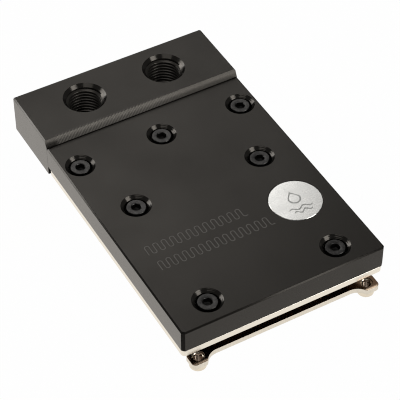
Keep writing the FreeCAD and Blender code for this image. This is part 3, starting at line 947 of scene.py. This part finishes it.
def makeFloor():
    # plain white to the camera, and a little warm in reflections, with a trace of the object's shadow
    bpy.ops.object.select_all(action="DESELECT")
    bpy.ops.mesh.primitive_plane_add(size=studio["floor"], location=(0, 0, cadBounds[0].z))
    floor = bpy.context.object
    floor.name = "studio_floor"
    material, tree, shader, place, axes = newMaterial("floorPale")
    shader.inputs["Roughness"].default_value = studio["floorRough"]
    shader.inputs["Base Color"].default_value = (*studio["floorColour"], 1)
    rays = addNode(tree, "ShaderNodeLightPath", 0, 3)
    seen = math2(tree, "MAXIMUM", rays.outputs["Is Camera Ray"], rays.outputs["Is Glossy Ray"], 1, 3)
    seen = math2(tree, "MAXIMUM", seen, rays.outputs["Is Transmission Ray"], 2, 3)
    share = math2(tree, "MULTIPLY", seen, studio["floorShare"], 3, 3)
    white = addNode(tree, "ShaderNodeEmission", 2, 1)
    blendColour(tree, rays.outputs["Is Camera Ray"], studio["reflected"], (1, 1, 1),
                white.inputs["Color"])
    mix = addNode(tree, "ShaderNodeMixShader", 4, 0)
    tree.links.new(share, mix.inputs[0])
    tree.links.new(shader.outputs[0], mix.inputs[1])
    tree.links.new(white.outputs[0], mix.inputs[2])
    # seen from below, the floor is not there
    side = addNode(tree, "ShaderNodeNewGeometry", 4, 3)
    clear = addNode(tree, "ShaderNodeBsdfTransparent", 4, 2)
    oneSided = addNode(tree, "ShaderNodeMixShader", 5, 0)
    tree.links.new(side.outputs["Backfacing"], oneSided.inputs[0])
    tree.links.new(mix.outputs[0], oneSided.inputs[1])
    tree.links.new(clear.outputs[0], oneSided.inputs[2])
    output = tree.nodes["Material Output"]
    tree.links.new(oneSided.outputs[0], output.inputs["Surface"])
    floor.data.materials.append(material)


def makeWorld():
    world = bpy.data.worlds.new("studio")
    bpy.context.scene.world = world
    world.use_nodes = True
    background = world.node_tree.nodes["Background"]
    background.inputs["Color"].default_value = (*studio["worldColour"], 1)
    background.inputs["Strength"].default_value = studio["world"]


lamps = [{"name": "frontKey", "towards": (0.48, -0.66, 0.58), "distance": 0.80,
          "size": (0.36, 0.36), "level": 4.2},
         {"name": "frontLow", "towards": (0.40, -0.90, 0.12), "distance": 0.80,
          "size": (0.46, 0.20), "level": 2.6},
         {"name": "overhead", "towards": (-0.35, -0.25, 0.90), "distance": 1.00,
          "size": (0.70, 0.70), "level": 0.9},
         {"name": "rearHigh", "towards": (0.05, 0.68, 0.85), "distance": 0.60,
          "size": (0.25, 0.25), "level": 1.75},
         {"name": "rearMiddle", "towards": (0.34, 0.62, 0.70), "distance": 0.60,
          "size": (0.14, 0.18), "level": 1.45},
         {"name": "rearRight", "towards": (0.45, 0.68, 0.55), "distance": 0.60,
          "size": (0.25, 0.25), "level": 0.25},
         {"name": "rearLow", "towards": (-0.60, 0.76, 0.26), "distance": 0.60,
          "size": (0.40, 0.22), "level": 3.6}]


def makeLamp(lamp):
    aim = (cadBounds[0] + cadBounds[1]) / 2
    direction = Vector(lamp["towards"]).normalized()
    bpy.ops.object.light_add(type="AREA", location=aim + direction * lamp["distance"])
    light = bpy.context.object
    light.name = lamp["name"]
    light.rotation_mode = "QUATERNION"
    light.rotation_quaternion = direction.to_track_quat("Z", "Y")
    light.data.shape = "RECTANGLE"
    light.data.size, light.data.size_y = lamp["size"]
    # level is the brightness of the lamp's face, where 1 is white
    light.data.energy = lamp["level"] * math.pi * lamp["size"][0] * lamp["size"][1]
    light.data.color = studio["lampColour"]
    light.visible_camera = False


shot = {"azimuth": -29.275, "elevation": 45.436, "roll": -0.231, "distance": 0.6026,
        "aim": (-0.004185, 0.015873, 0.0174), "lens": 161.87, "sensor": 36.0, "nearest": 0.01}


def makeCamera():
    azimuth = math.radians(shot["azimuth"])
    elevation = math.radians(shot["elevation"])
    back = Vector((math.sin(azimuth) * math.cos(elevation), -math.cos(azimuth) * math.cos(elevation),
                   math.sin(elevation)))
    bpy.ops.object.camera_add(location=Vector(shot["aim"]) + back * shot["distance"])
    camera = bpy.context.object
    camera.rotation_mode = "QUATERNION"
    roll = Quaternion((0, 0, 1), math.radians(shot["roll"]))
    camera.rotation_quaternion = (-back).to_track_quat("-Z", "Y") @ roll
    camera.data.lens = shot["lens"]
    camera.data.sensor_width = shot["sensor"]
    camera.data.clip_start = shot["nearest"]
    bpy.context.scene.camera = camera


makeFloor()
makeWorld()
for lamp in lamps:
    makeLamp(lamp)
makeCamera()
bpy.context.scene.view_settings.view_transform = "Standard"
bpy.context.scene.cycles.filter_width = 1.1
